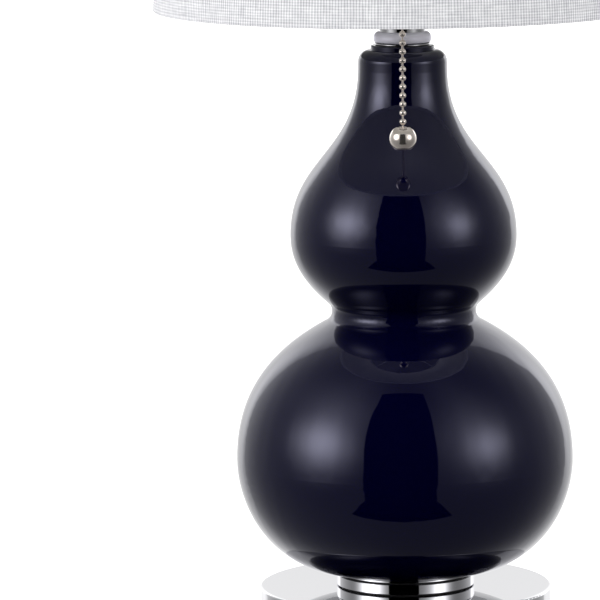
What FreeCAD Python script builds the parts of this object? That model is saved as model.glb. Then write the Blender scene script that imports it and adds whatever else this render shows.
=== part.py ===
import FreeCAD, Part
import math
import os

# Double gourd table lamp with a drum shade and a two-light pull-chain cluster.
# Millimetres. +Z is up, the origin is the middle of the underside, and the front chain hangs on the -Y side.

# ---- Driving dimensions ----

# Base: a felted iron weight inside a spun shell
BASE_DIAMETER = 210.0
BASE_HEIGHT = 24.0
BASE_WALL = 1.2
BASE_EDGE_RADIUS = 1.8
BASE_RIM_LIFT = 1.0
FELT_THICKNESS = 2.0
FELT_INSET = 1.5
WEIGHT_PLATE = 8.0
WEIGHT_RIM_WIDTH = 16.0
WEIGHT_INNER_ROUND = 2.0
WEIGHT_EDGE_RADIUS = 0.8
WEIGHT_NOTCH_WIDTH = 14.0
CORD_HOLE_DIAMETER = 10.0
BUSHING_CLEARANCE = 0.05
BUSHING_TAIL = 3.0
BUSHING_FLANGE_DIAMETER = 14.0
BUSHING_FLANGE_THICKNESS = 1.6
BUSHING_BORE = 6.4

# Threaded lamp pipe that clamps the whole stack
PIPE_DIAMETER = 9.7
PIPE_BORE = 6.5
PIPE_TAIL = 3.0
PIPE_CLEARANCE = 0.25
WASHER_DIAMETER = 32.0
WASHER_THICKNESS = 1.6
NUT_FLATS = 14.3
NUT_THICKNESS = 5.0

# Ring and plate between the base and the gourd
RING_DIAMETER = 99.2
RING_HEIGHT = 7.5
RING_EDGE_RADIUS = 0.7
RING_GASKET_DIAMETER = 94.0
GASKET_THICKNESS = 0.8
PLATE_DIAMETER = 96.8
PLATE_HEIGHT = 1.6
PLATE_EDGE_RADIUS = 0.5
PLATE_GASKET_DIAMETER = 91.5

# Gourd: each height is a rise above the feature before it
GOURD_WALL = 5.0
GOURD_FLOOR = 7.0
GOURD_BOTTOM_HOLE = 22.0
FOOT_DIAMETER = 85.6
BELLY_DIAMETER = 242.0
BELLY_RISE = 81.7
WAIST_DIAMETER = 91.4
WAIST_RISE = 105.3
WAIST_BLEND_RADIUS = 8.0
UPPER_BELLY_DIAMETER = 162.4
UPPER_BELLY_RISE = 55.8
NECK_DIAMETER = 63.8
NECK_RISE = 118.7
SHOULDER_RADIUS = 8.2
SHOULDER_RISE = 14.4
SHOULDER_LEDGE = 0.8
LIP_DIAMETER = 45.6
LIP_HEIGHT = 3.3
LIP_EDGE_RADIUS = 1.2
LIP_BORE = 30.0

# Shares of each span by which the outline holds its direction at either end
FOOT_HOLD = 0.74
BELLY_HOLD_BELOW = 0.38
BELLY_HOLD_ABOVE = 0.64
WAIST_HOLD_BELOW = 0.39
WAIST_HOLD_ABOVE = 0.62
UPPER_BELLY_HOLD_BELOW = 0.47
UPPER_BELLY_HOLD_ABOVE = 0.47
NECK_HOLD = 0.50

# Directions, in degrees from vertical, in which the outline leaves or reaches its corners
FOOT_FLARE = 88.5
WAIST_LOWER_SLOPE = 62.0
WAIST_UPPER_SLOPE = 50.0
NECK_SLOPE = 1.0

# Neck cap and column
CAP_DIAMETER = 40.4
CAP_HEIGHT = 9.1
CAP_RIM_HEIGHT = 1.9
CAP_DOME_BULGE = 0.4
CAP_SPIGOT_HEIGHT = 5.0
NECK_GASKET_DIAMETER = 38.4
NECK_GASKET_THICKNESS = 0.6
COLUMN_DIAMETER = 33.2
COLUMN_WALL = 1.2
COLUMN_LENGTH = 44.4
COLUMN_SEAT_DEPTH = 2.0

# Cluster body and arms
CLUSTER_DIAMETER = 37.0
CLUSTER_HEIGHT = 22.0
CLUSTER_WALL = 3.0
CLUSTER_EDGE_RADIUS = 2.0
PIPE_HEADROOM = 2.0
ARM_DIAMETER = 12.0
ARM_BORE = 8.0
ARM_BEND_RADIUS = 9.0
ARM_RISE = 4.0
ARM_NUT_FLATS = 16.0
ARM_NUT_THICKNESS = 4.0

# Lampholders: heights are above the bottom of the holder
HOLDER_OFFSET = 50.0
HOLDER_CAP_DIAMETER = 34.6
HOLDER_CAP_HEIGHT = 14.0
HOLDER_BOSS_DIAMETER = 18.0
HOLDER_BOSS_HEIGHT = 3.0
HOLDER_CAP_CROWN = 2.5
HOLDER_CAP_ROUND = 4.0
HOLDER_CAP_WALL = 0.8
HOLDER_SHELL_DIAMETER = 32.6
HOLDER_SHELL_BOTTOM = 11.0
HOLDER_SHELL_TOP = 56.0
HOLDER_SHELL_WALL = 0.7
HOLDER_BEAD_WIDTH = 0.9
HOLDER_BEAD_HEIGHT = 1.8
LINER_THICKNESS = 0.6
LINER_GAP = 0.2
LINER_BELOW_RIM = 1.5
SWITCH_BODY_BOTTOM = 11.5
SWITCH_BODY_HEIGHT = 19.0
SWITCH_BODY_ROUND = 1.0
SCREW_SHELL_BORE = 27.0
SCREW_SHELL_WALL = 0.5
SCREW_SHELL_HEIGHT = 23.0
SCREW_SHELL_FLOOR_HOLE = 16.0
CONTACT_THICKNESS = 0.6
CONTACT_WIDTH = 5.0
CONTACT_FOOT = 7.0
CONTACT_BEND = 4.0
CONTACT_TIP = 2.5
CONTACT_LIFT = 2.4
CAM_DIAMETER = 11.0
CAM_THICKNESS = 3.0
CAM_LOBES = 4
CAM_NOTCH_DIAMETER = 4.95
CAM_PIN_DIAMETER = 3.0
CAM_PIN_REACH = 3.5
CAM_SIDE_GAP = 0.5

# Chain spout
SPOUT_HEIGHT = 22.0
SPOUT_DIAMETER = 8.4
SPOUT_BORE = 6.8
SPOUT_REACH = 35.7
SPOUT_BEND_RADIUS = 9.0
SPOUT_DROP = 15.0
SPOUT_MOUTH_DIAMETER = 11.4
SPOUT_FLARE_HEIGHT = 3.0

# Ball chain and pendant
CHAIN_PITCH = 6.12
CHAIN_BALL_DIAMETER = 4.6
CHAIN_PIN_DIAMETER = 1.3
CHAIN_BALLS = 18
LEAD_BALLS = 4
PIVOT_BELOW_MOUTH = 4.2
LINK_GAP = 0.35
PENDANT_DIAMETER = 19.05
PENDANT_TOP_FLAT = 8.2
PENDANT_BOTTOM_FLAT = 7.5
PENDANT_BELOW_CHAIN = 11.8
PENDANT_HOLE_DIAMETER = 3.4
PENDANT_COUNTERSINK_DIAMETER = 5.6
PENDANT_COUNTERSINK_DEPTH = 1.1
PENDANT_HOLE_DEPTH = 5.0

# Bulbs
BULB_CAP_DIAMETER = 26.2
BULB_CAP_HEIGHT = 25.0
BULB_TIP_GAP = 0.4
BULB_TIP_DIAMETER = 9.0
BULB_TIP_HEIGHT = 3.0
BULB_CAP_TAPER = 1.0
BULB_NECK_DIAMETER = 27.0
BULB_HOUSING_HEIGHT = 30.0
BULB_DIAMETER = 60.0
BULB_SEAM_INSET = 1.5
BULB_SEAM_SLOPE = 12.0
BULB_FLARE_HOLD = 0.43
BULB_LENGTH = 109.0

# Riser and shade seat
RISER_NUT_FLATS = 16.0
RISER_NUT_THICKNESS = 4.0
RISER_ENGAGEMENT = 2.0
SEAT_DIAMETER = 18.0
SEAT_HEIGHT = 6.0
SEAT_FLARE = 1.5
SEAT_EDGE_RADIUS = 0.7
SEAT_SOCKET_DEPTH = 8.0
SEAT_SOCKET_WALL = 2.0
POST_DIAMETER = 6.3
POST_LENGTH = 16.0
POST_CLEARANCE = 0.08

# Drum shade
SHADE_BOTTOM_DIAMETER = 355.0
SHADE_TOP_DIAMETER = 328.0
SHADE_HEIGHT = 254.0
SHADE_DROP = 25.2
SHADE_FABRIC = 0.7
SHADE_LINING = 0.7
SHADE_WIRE = 3.0
SHADE_WIRE_GAP = 0.15
SHADE_TURN_IN = 7.0
SHADE_EDGE_RADIUS = 1.8
SPIDER_RECESS = 13.0
SPIDER_SPOKES = 3
SPIDER_HUB_DIAMETER = 26.0
SPIDER_HUB_THICKNESS = 1.6
SPOKE_CLIMB = 28.0

# Finial
FINIAL_WASHER_DIAMETER = 17.0
FINIAL_WASHER_THICKNESS = 0.8
FINIAL_HEIGHT = 28.0
FINIAL_FOOT_DIAMETER = 12.5
FINIAL_FOOT_HEIGHT = 3.0
FINIAL_FOOT_TAPER = 2.0
FINIAL_STEM_DIAMETER = 10.0
FINIAL_BALL_DIAMETER = 16.0
FINIAL_HOLE_DEPTH = 14.0

os.makedirs("parts", exist_ok=True)

ORIGIN = FreeCAD.Vector(0, 0, 0)
X_AXIS = FreeCAD.Vector(1, 0, 0)
Y_AXIS = FreeCAD.Vector(0, 1, 0)
Z_AXIS = FreeCAD.Vector(0, 0, 1)
SMALL = 1e-6

# How far a cutting tool runs past the face that it opens
OVERCUT = 2.0

# Handle share with which a Bezier curve follows a quarter of an ellipse
QUARTER_ROUND = 0.552


# ---- Helpers ----

def section_point(radius, height):
    return FreeCAD.Vector(radius, 0, height)


def rounded_outline(corners):
    """Edges of a closed outline in the XZ plane. A corner is (radius, height) or (radius, height, rounding)."""
    points = [section_point(corner[0], corner[1]) for corner in corners]
    count = len(points)
    starts = []
    arcs = []
    ends = []
    for i, corner in enumerate(corners):
        here = points[i]
        rounding = corner[2] if len(corner) > 2 else 0
        if rounding == 0:
            starts.append(here)
            arcs.append(None)
            ends.append(here)
            continue
        to_last = (points[i - 1] - here).normalize()
        to_next = (points[(i + 1) % count] - here).normalize()
        half = to_last.getAngle(to_next) / 2
        reach = rounding / math.tan(half)
        start = here + to_last * reach
        end = here + to_next * reach
        inward = (to_last + to_next).normalize()
        middle = here + inward * (rounding / math.sin(half) - rounding)
        starts.append(start)
        arcs.append(Part.Arc(start, middle, end).toShape())
        ends.append(end)
    edges = []
    for i in range(count):
        if arcs[i] is not None:
            edges.append(arcs[i])
        following = starts[(i + 1) % count]
        if (following - ends[i]).Length > SMALL:
            edges.append(Part.LineSegment(ends[i], following).toShape())
    return edges


def spin(edges):
    """Solid of revolution about Z from closed edges in the XZ plane."""
    return Part.Face(Part.Wire(edges)).revolve(ORIGIN, Z_AXIS, 360)


def turned(corners):
    return spin(rounded_outline(corners))


def disc(diameter, bottom, top, bore=0.0):
    """Upright cylinder between two heights, with a bore if one is given."""
    body = Part.makeCylinder(diameter / 2, top - bottom, FreeCAD.Vector(0, 0, bottom))
    if bore:
        body = body.cut(Part.makeCylinder(bore / 2, top - bottom, FreeCAD.Vector(0, 0, bottom)))
    return body


def hexagon(flats, bottom, thickness, bore):
    """Hexagon nut with its corners bevelled on top."""
    corner_radius = flats / math.sqrt(3)
    corners = []
    for i in range(7):
        angle = math.radians(60 * i)
        corners.append(FreeCAD.Vector(corner_radius * math.cos(angle), corner_radius * math.sin(angle), bottom))
    nut = Part.Face(Part.makePolygon(corners)).extrude(FreeCAD.Vector(0, 0, thickness))
    bevel = corner_radius - flats / 2
    crown = turned([
        (0, bottom),
        (corner_radius, bottom),
        (corner_radius, bottom + thickness - bevel / 2),
        (flats / 2, bottom + thickness),
        (0, bottom + thickness),
    ])
    return nut.common(crown).cut(disc(bore, bottom, bottom + thickness))


def write(node, shape):
    shape.exportStep("parts/" + node + ".step")


# ---- Base ----

weight_top = BASE_HEIGHT - BASE_WALL
plate_bottom = weight_top - WEIGHT_PLATE
shell_bore_radius = BASE_DIAMETER / 2 - BASE_WALL
weight_radius = shell_bore_radius - PIPE_CLEARANCE
pipe_hole = PIPE_DIAMETER + 2 * PIPE_CLEARANCE
cord_height = (FELT_THICKNESS + plate_bottom) / 2 + BASE_RIM_LIFT


def cord_hole(diameter, start, length):
    return Part.makeCylinder(diameter / 2, length, FreeCAD.Vector(0, start, cord_height), Y_AXIS)


def make_felt_pad():
    return disc(2 * (weight_radius - FELT_INSET), 0, FELT_THICKNESS)


def make_base_weight():
    rim_inner = weight_radius - WEIGHT_RIM_WIDTH
    casting = turned([
        (pipe_hole / 2, plate_bottom),
        (rim_inner, plate_bottom, WEIGHT_INNER_ROUND),
        (rim_inner, FELT_THICKNESS),
        (weight_radius, FELT_THICKNESS),
        (weight_radius, weight_top, WEIGHT_EDGE_RADIUS),
        (pipe_hole / 2, weight_top),
    ])
    notch = Part.makeBox(
        WEIGHT_NOTCH_WIDTH, WEIGHT_RIM_WIDTH + 2 * OVERCUT, plate_bottom - FELT_THICKNESS,
        FreeCAD.Vector(-WEIGHT_NOTCH_WIDTH / 2, rim_inner - OVERCUT, FELT_THICKNESS))
    return casting.cut(notch)


def make_base_shell():
    outer = BASE_DIAMETER / 2
    shell = turned([
        (pipe_hole / 2, weight_top),
        (shell_bore_radius, weight_top, BASE_EDGE_RADIUS / 4),
        (shell_bore_radius, BASE_RIM_LIFT),
        (outer, BASE_RIM_LIFT),
        (outer, BASE_HEIGHT, BASE_EDGE_RADIUS),
        (pipe_hole / 2, BASE_HEIGHT),
    ])
    return shell.cut(cord_hole(CORD_HOLE_DIAMETER, shell_bore_radius - OVERCUT, BASE_WALL + 2 * OVERCUT))


def make_cord_bushing():
    outer = BASE_DIAMETER / 2
    inner_end = shell_bore_radius - BUSHING_TAIL
    flange_start = outer - BUSHING_FLANGE_THICKNESS
    length = outer + BUSHING_FLANGE_THICKNESS - inner_end
    barrel = cord_hole(CORD_HOLE_DIAMETER - 2 * BUSHING_CLEARANCE, inner_end, length)
    flange = cord_hole(BUSHING_FLANGE_DIAMETER, flange_start, 2 * BUSHING_FLANGE_THICKNESS)
    flange = flange.cut(disc(BASE_DIAMETER, BASE_RIM_LIFT, BASE_HEIGHT))
    passage = cord_hole(BUSHING_BORE, inner_end - OVERCUT, length + 2 * OVERCUT)
    return barrel.fuse(flange).cut(passage).removeSplitter()


washer_bottom = plate_bottom - WASHER_THICKNESS
nut_bottom = washer_bottom - NUT_THICKNESS
pipe_bottom = nut_bottom - PIPE_TAIL

write("felt_pad", make_felt_pad())
write("base_weight", make_base_weight())
write("base_shell", make_base_shell())
write("cord_bushing", make_cord_bushing())
write("bottom_washer", disc(WASHER_DIAMETER, washer_bottom, plate_bottom, pipe_hole))
write("bottom_nut", hexagon(NUT_FLATS, nut_bottom, NUT_THICKNESS, PIPE_DIAMETER))

# ---- Ring and seat plate ----

ring_bottom = BASE_HEIGHT + GASKET_THICKNESS
ring_top = ring_bottom + RING_HEIGHT
seat_bottom = ring_top + GASKET_THICKNESS
gourd_bottom = seat_bottom + PLATE_HEIGHT


def make_turned_plate(diameter, bottom, top, rounding):
    """Round plate with its rim's edges rounded and a clearance hole for the pipe."""
    return turned([
        (pipe_hole / 2, bottom),
        (diameter / 2, bottom, rounding),
        (diameter / 2, top, rounding),
        (pipe_hole / 2, top),
    ])


write("ring_gasket", disc(RING_GASKET_DIAMETER, BASE_HEIGHT, ring_bottom, pipe_hole))
write("base_ring", make_turned_plate(RING_DIAMETER, ring_bottom, ring_top, RING_EDGE_RADIUS))
write("plate_gasket", disc(PLATE_GASKET_DIAMETER, ring_top, seat_bottom, pipe_hole))
write("seat_plate", make_turned_plate(PLATE_DIAMETER, seat_bottom, gourd_bottom, PLATE_EDGE_RADIUS))

# ---- Gourd ----

belly_height = gourd_bottom + BELLY_RISE
waist_height = belly_height + WAIST_RISE
upper_belly_height = waist_height + UPPER_BELLY_RISE
neck_height = upper_belly_height + NECK_RISE
shoulder_top = neck_height + SHOULDER_RISE
lip_top = shoulder_top + LIP_HEIGHT


def toward(degrees):
    """Direction in the section, measured from straight up towards a growing radius."""
    return section_point(math.sin(math.radians(degrees)), math.cos(math.radians(degrees)))


def curve(start, start_handle, end_handle, end):
    bezier = Part.BezierCurve()
    bezier.setPoles([start, start_handle, end_handle, end])
    return bezier.toShape()


def gourd_side(inset):
    """The side curves, from foot to neck, moved inwards by inset."""
    belly = BELLY_DIAMETER / 2 - inset
    upper = UPPER_BELLY_DIAMETER / 2 - inset
    spread = (WAIST_LOWER_SLOPE + WAIST_UPPER_SLOPE) / 2
    crease_shift = inset / math.cos(math.radians(spread))
    foot_point = section_point(FOOT_DIAMETER / 2 - inset, gourd_bottom + (GOURD_FLOOR if inset else 0))
    belly_point = section_point(belly, belly_height)
    waist_point = section_point(WAIST_DIAMETER / 2 - crease_shift, waist_height)
    upper_point = section_point(upper, upper_belly_height)
    neck_point = section_point(NECK_DIAMETER / 2 - inset, neck_height)
    foot_rise = belly_height - foot_point.z
    edges = [
        curve(
            foot_point,
            foot_point + toward(FOOT_FLARE) * (FOOT_HOLD * (belly - foot_point.x)),
            belly_point - Z_AXIS * (BELLY_HOLD_BELOW * foot_rise),
            belly_point),
        curve(
            belly_point,
            belly_point + Z_AXIS * (BELLY_HOLD_ABOVE * WAIST_RISE),
            waist_point + toward(180 - WAIST_LOWER_SLOPE) * (WAIST_HOLD_BELOW * (belly - waist_point.x)),
            waist_point),
        curve(
            waist_point,
            waist_point + toward(WAIST_UPPER_SLOPE) * (WAIST_HOLD_ABOVE * (upper - waist_point.x)),
            upper_point - Z_AXIS * (UPPER_BELLY_HOLD_BELOW * UPPER_BELLY_RISE),
            upper_point),
        curve(
            upper_point,
            upper_point + Z_AXIS * (UPPER_BELLY_HOLD_ABOVE * NECK_RISE),
            neck_point + toward(180 - NECK_SLOPE) * (NECK_HOLD * NECK_RISE),
            neck_point),
    ]
    return edges, foot_point, waist_point, neck_point


def shoulder_edges(neck_point, inset):
    """From the neck up to the shoulder and round it, ending where the arc is level."""
    radius = SHOULDER_RADIUS - inset
    centre = section_point(LIP_DIAMETER / 2 + SHOULDER_LEDGE, shoulder_top - SHOULDER_RADIUS)
    side = centre + X_AXIS * radius
    middle = centre + toward(45) * radius
    top = centre + Z_AXIS * radius
    return [Part.LineSegment(neck_point, side).toShape(), Part.Arc(side, middle, top).toShape()], top


def line(*points):
    return [Part.LineSegment(a, b).toShape() for a, b in zip(points, points[1:])]


def round_waist(shape, waist_point, rounding):
    """Roll a blend into the sharp waist circle of a turned solid."""
    for edge in shape.Edges:
        spot = edge.Vertexes[0].Point
        if abs(spot.z - waist_point.z) < SMALL and abs(math.hypot(spot.x, spot.y) - waist_point.x) < SMALL:
            return shape.makeFillet(rounding, [edge])
    raise ValueError("no waist edge found")


def make_gourd_body():
    side, foot, waist, neck = gourd_side(0)
    shoulder, shoulder_point = shoulder_edges(neck, 0)
    lip = LIP_DIAMETER / 2
    lip_round = LIP_EDGE_RADIUS
    lip_side = section_point(lip, lip_top - lip_round)
    lip_middle = section_point(lip - lip_round, lip_top - lip_round) + toward(45) * lip_round
    lip_end = section_point(lip - lip_round, lip_top)
    outside = side + shoulder + line(shoulder_point, section_point(lip, shoulder_top), lip_side)
    outside.append(Part.Arc(lip_side, lip_middle, lip_end).toShape())
    outside += line(lip_end, section_point(0, lip_top), section_point(0, gourd_bottom), foot)
    body = round_waist(spin(outside), waist, WAIST_BLEND_RADIUS)

    side, floor, waist, neck = gourd_side(GOURD_WALL)
    shoulder, shoulder_point = shoulder_edges(neck, GOURD_WALL)
    inside = side + shoulder + line(shoulder_point, section_point(0, shoulder_point.z), section_point(0, floor.z), floor)
    hollow = round_waist(spin(inside), waist, WAIST_BLEND_RADIUS + GOURD_WALL)

    body = body.cut(hollow)
    body = body.cut(disc(LIP_BORE, shoulder_point.z - OVERCUT, lip_top + OVERCUT))
    return body.cut(disc(GOURD_BOTTOM_HOLE, gourd_bottom - OVERCUT, floor.z + OVERCUT))


write("gourd_body", make_gourd_body())

# ---- Neck cap and column ----

cap_bottom = lip_top + NECK_GASKET_THICKNESS
cap_top = cap_bottom + CAP_HEIGHT
column_bottom = cap_top - COLUMN_SEAT_DEPTH
column_top = column_bottom + COLUMN_LENGTH


def make_neck_cap():
    rim = CAP_DIAMETER / 2
    spigot = LIP_BORE / 2 - PIPE_CLEARANCE
    dome_foot = section_point(rim + CAP_DOME_BULGE, cap_bottom + CAP_RIM_HEIGHT)
    crown_point = section_point(COLUMN_DIAMETER / 2, cap_top)
    dome_rise = CAP_HEIGHT - CAP_RIM_HEIGHT
    dome = curve(
        dome_foot,
        dome_foot + Z_AXIS * (QUARTER_ROUND * dome_rise),
        crown_point + X_AXIS * (QUARTER_ROUND * (dome_foot.x - crown_point.x)),
        crown_point)
    outline = [dome] + line(
        crown_point,
        section_point(0, cap_top),
        section_point(0, cap_bottom - CAP_SPIGOT_HEIGHT),
        section_point(spigot, cap_bottom - CAP_SPIGOT_HEIGHT),
        section_point(spigot, cap_bottom),
        section_point(rim, cap_bottom),
        section_point(rim, dome_foot.z - CAP_DOME_BULGE),
        dome_foot)
    cap = spin(outline)
    cap = cap.cut(disc(COLUMN_DIAMETER, column_bottom, cap_top))
    return cap.cut(disc(pipe_hole, cap_bottom - CAP_SPIGOT_HEIGHT, cap_top))


def make_column_tube():
    return disc(COLUMN_DIAMETER, column_bottom, column_top, COLUMN_DIAMETER - 2 * COLUMN_WALL)


write("neck_gasket", disc(NECK_GASKET_DIAMETER, lip_top, cap_bottom, LIP_BORE))
write("neck_cap", make_neck_cap())
write("column_tube", make_column_tube())

# ---- Cluster body, arms and pipe ----

cluster_bottom = column_top
cluster_top = cluster_bottom + CLUSTER_HEIGHT
arm_height = cluster_bottom + CLUSTER_HEIGHT / 2
holder_bottom = arm_height + ARM_BEND_RADIUS + ARM_RISE
pipe_top = cluster_bottom + CLUSTER_WALL + PIPE_HEADROOM


def make_cluster_body():
    outer = CLUSTER_DIAMETER / 2
    inner = outer - CLUSTER_WALL
    body = turned([
        (0, cluster_bottom),
        (outer, cluster_bottom, CLUSTER_EDGE_RADIUS / 2),
        (outer, cluster_top, CLUSTER_EDGE_RADIUS),
        (0, cluster_top),
    ])
    body = body.cut(disc(2 * inner, cluster_bottom + CLUSTER_WALL, cluster_top - CLUSTER_WALL))
    body = body.cut(disc(PIPE_DIAMETER, cluster_bottom, cluster_top))
    ports = Part.makeCylinder(ARM_DIAMETER / 2, CLUSTER_DIAMETER + 2 * OVERCUT,
                              FreeCAD.Vector(0, -outer - OVERCUT, arm_height), Y_AXIS)
    return body.cut(ports)


def bent_tube(diameter, start, corner_distance, bend, rise):
    """Round bar from start outwards along -Y, then bent to run along Z by rise, which may be negative."""
    radius = diameter / 2
    up = 1 if rise > 0 else -1
    run = Part.makeCylinder(radius, corner_distance - bend, start, -Y_AXIS)
    bend_start = start - Y_AXIS * (corner_distance - bend)
    bend_axis_point = bend_start + Z_AXIS * (up * bend)
    ring = Part.Face(Part.Wire(Part.Circle(bend_start, Y_AXIS, radius).toShape()))
    elbow = ring.revolve(bend_axis_point, X_AXIS * -up, 90)
    bend_end = bend_start + FreeCAD.Vector(0, -bend, up * bend)
    riser = Part.makeCylinder(radius, abs(rise), bend_end, Z_AXIS * up)
    return run.fuse([elbow, riser]).removeSplitter()


def make_front_arm():
    inner = CLUSTER_DIAMETER / 2 - CLUSTER_WALL
    start = FreeCAD.Vector(0, -inner, arm_height)
    length = HOLDER_OFFSET - inner
    arm = bent_tube(ARM_DIAMETER, start, length, ARM_BEND_RADIUS, ARM_RISE)
    bore = bent_tube(ARM_BORE, start, length, ARM_BEND_RADIUS, ARM_RISE)
    return arm.cut(bore)


def make_front_arm_nut():
    nut = hexagon(ARM_NUT_FLATS, holder_bottom - ARM_NUT_THICKNESS, ARM_NUT_THICKNESS, ARM_DIAMETER)
    return nut.translated(FreeCAD.Vector(0, -HOLDER_OFFSET, 0))


write("centre_pipe", disc(PIPE_DIAMETER, pipe_bottom, pipe_top, PIPE_BORE))
write("cluster_body", make_cluster_body())

# ---- Lampholders, chains and bulbs, modelled at the front and turned half round for the rear ----

holder_axis = FreeCAD.Vector(0, -HOLDER_OFFSET, 0)
cap_inner_diameter = HOLDER_CAP_DIAMETER - 2 * HOLDER_CAP_WALL
shell_inner_diameter = HOLDER_SHELL_DIAMETER - 2 * HOLDER_SHELL_WALL
liner_diameter = shell_inner_diameter - 2 * LINER_GAP
liner_inner_diameter = liner_diameter - 2 * LINER_THICKNESS
switch_diameter = liner_inner_diameter - 2 * LINER_GAP
shell_bottom = holder_bottom + HOLDER_SHELL_BOTTOM
shell_top = holder_bottom + HOLDER_SHELL_TOP
switch_bottom = holder_bottom + SWITCH_BODY_BOTTOM
switch_top = switch_bottom + SWITCH_BODY_HEIGHT
spout_level = holder_bottom + SPOUT_HEIGHT
spout_mouth = spout_level - SPOUT_BEND_RADIUS - SPOUT_DROP
chain_line = HOLDER_OFFSET + SPOUT_REACH
pivot_level = spout_mouth - PIVOT_BELOW_MOUTH
last_ball = pivot_level - (CHAIN_BALLS + 1) * CHAIN_PITCH
pendant_level = last_ball - PENDANT_BELOW_CHAIN
cam_centre = FreeCAD.Vector(0, -HOLDER_OFFSET, spout_level)


def on_holder(shape):
    return shape.translated(holder_axis)


def make_holder_cap():
    outer = HOLDER_CAP_DIAMETER / 2
    inner = cap_inner_diameter / 2
    boss = HOLDER_BOSS_DIAMETER / 2
    top = holder_bottom + HOLDER_CAP_HEIGHT
    wall = HOLDER_CAP_WALL
    crown_foot = holder_bottom + HOLDER_BOSS_HEIGHT
    crown_edge = crown_foot + HOLDER_CAP_CROWN
    cap = turned([
        (ARM_BORE / 2, holder_bottom),
        (boss, holder_bottom),
        (boss, crown_foot),
        (outer, crown_edge, HOLDER_CAP_ROUND),
        (outer, top),
        (inner, top),
        (inner, crown_edge + wall, HOLDER_CAP_ROUND - wall),
        (boss - wall, crown_foot + wall),
        (boss - wall, holder_bottom + wall),
        (ARM_BORE / 2, holder_bottom + wall),
    ])
    return on_holder(cap)


def spout_port(diameter):
    """Round hole through the holder's front wall, where the spout passes."""
    reach = HOLDER_CAP_DIAMETER
    return Part.makeCylinder(diameter / 2, reach, FreeCAD.Vector(0, -HOLDER_OFFSET, spout_level), -Y_AXIS)


def make_holder_shell():
    outer = HOLDER_SHELL_DIAMETER / 2
    inner = shell_inner_diameter / 2
    bead = HOLDER_BEAD_WIDTH
    bead_bottom = shell_top - HOLDER_BEAD_HEIGHT
    shell = turned([
        (inner, shell_bottom),
        (outer, shell_bottom),
        (outer, bead_bottom),
        (outer + bead, bead_bottom, HOLDER_BEAD_HEIGHT / 3),
        (outer + bead, shell_top, HOLDER_BEAD_HEIGHT / 3),
        (inner, shell_top),
    ])
    return on_holder(shell).cut(spout_port(SPOUT_DIAMETER))


def make_card_liner():
    liner = disc(liner_diameter, switch_bottom, shell_top - LINER_BELOW_RIM, liner_inner_diameter)
    return on_holder(liner).cut(spout_port(SPOUT_DIAMETER))


def make_switch_body():
    body = turned([
        (0, switch_bottom),
        (switch_diameter / 2, switch_bottom, SWITCH_BODY_ROUND),
        (switch_diameter / 2, switch_top, SWITCH_BODY_ROUND),
        (0, switch_top),
    ])
    body = on_holder(body)
    pocket_radius = CAM_DIAMETER / 2 + CAM_SIDE_GAP
    pocket_width = CAM_THICKNESS + 2 * CAM_SIDE_GAP
    pocket = Part.makeCylinder(pocket_radius, pocket_width, cam_centre - X_AXIS * (pocket_width / 2), X_AXIS)
    body = body.cut(pocket)
    pin_hole_radius = CAM_PIN_DIAMETER / 2 + POST_CLEARANCE
    pin_reach = CAM_THICKNESS / 2 + CAM_PIN_REACH + CAM_SIDE_GAP
    pin_hole = Part.makeCylinder(pin_hole_radius, 2 * pin_reach, cam_centre - X_AXIS * pin_reach, X_AXIS)
    body = body.cut(pin_hole)
    return body.cut(spout_port(SPOUT_DIAMETER))


def make_switch_cam():
    """Ratchet wheel on its pin, with notches between its lobes."""
    radius = CAM_DIAMETER / 2
    notch = CAM_NOTCH_DIAMETER / 2
    left = cam_centre - X_AXIS * (CAM_THICKNESS / 2)
    cam = Part.makeCylinder(radius, CAM_THICKNESS, left, X_AXIS)
    for i in range(CAM_LOBES):
        angle = math.radians(360 * (i + 0.5) / CAM_LOBES)
        spot = FreeCAD.Vector(0, math.cos(angle), math.sin(angle)) * (radius + notch / 3)
        cam = cam.cut(Part.makeCylinder(notch, CAM_THICKNESS, left + spot, X_AXIS))
    pin_reach = CAM_THICKNESS / 2 + CAM_PIN_REACH
    pin = Part.makeCylinder(CAM_PIN_DIAMETER / 2, 2 * pin_reach, cam_centre - X_AXIS * pin_reach, X_AXIS)
    return cam.fuse(pin).removeSplitter()


def make_screw_shell():
    inner = SCREW_SHELL_BORE / 2
    outer = inner + SCREW_SHELL_WALL
    top = switch_top + SCREW_SHELL_HEIGHT
    floor_hole = SCREW_SHELL_FLOOR_HOLE / 2
    sleeve = turned([
        (floor_hole, switch_top),
        (outer, switch_top),
        (outer, top),
        (inner, top),
        (inner, switch_top + SCREW_SHELL_WALL),
        (floor_hole, switch_top + SCREW_SHELL_WALL),
    ])
    return on_holder(sleeve)


def make_centre_contact():
    """Brass leaf that rises from one side to under the bulb's tip."""
    t = CONTACT_THICKNESS
    crest = CONTACT_LIFT - CONTACT_BEND
    corners = [
        (-CONTACT_FOOT, 0),
        (-CONTACT_BEND, 0),
        (crest, CONTACT_LIFT - t),
        (CONTACT_TIP, CONTACT_LIFT - t),
        (CONTACT_TIP, CONTACT_LIFT),
        (crest - t, CONTACT_LIFT),
        (-CONTACT_BEND - t, t),
        (-CONTACT_FOOT, t),
    ]
    points = [FreeCAD.Vector(x, -CONTACT_WIDTH / 2, switch_top + z) for x, z in corners]
    leaf = Part.Face(Part.makePolygon(points + points[:1])).extrude(Y_AXIS * CONTACT_WIDTH)
    return on_holder(leaf)


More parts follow.
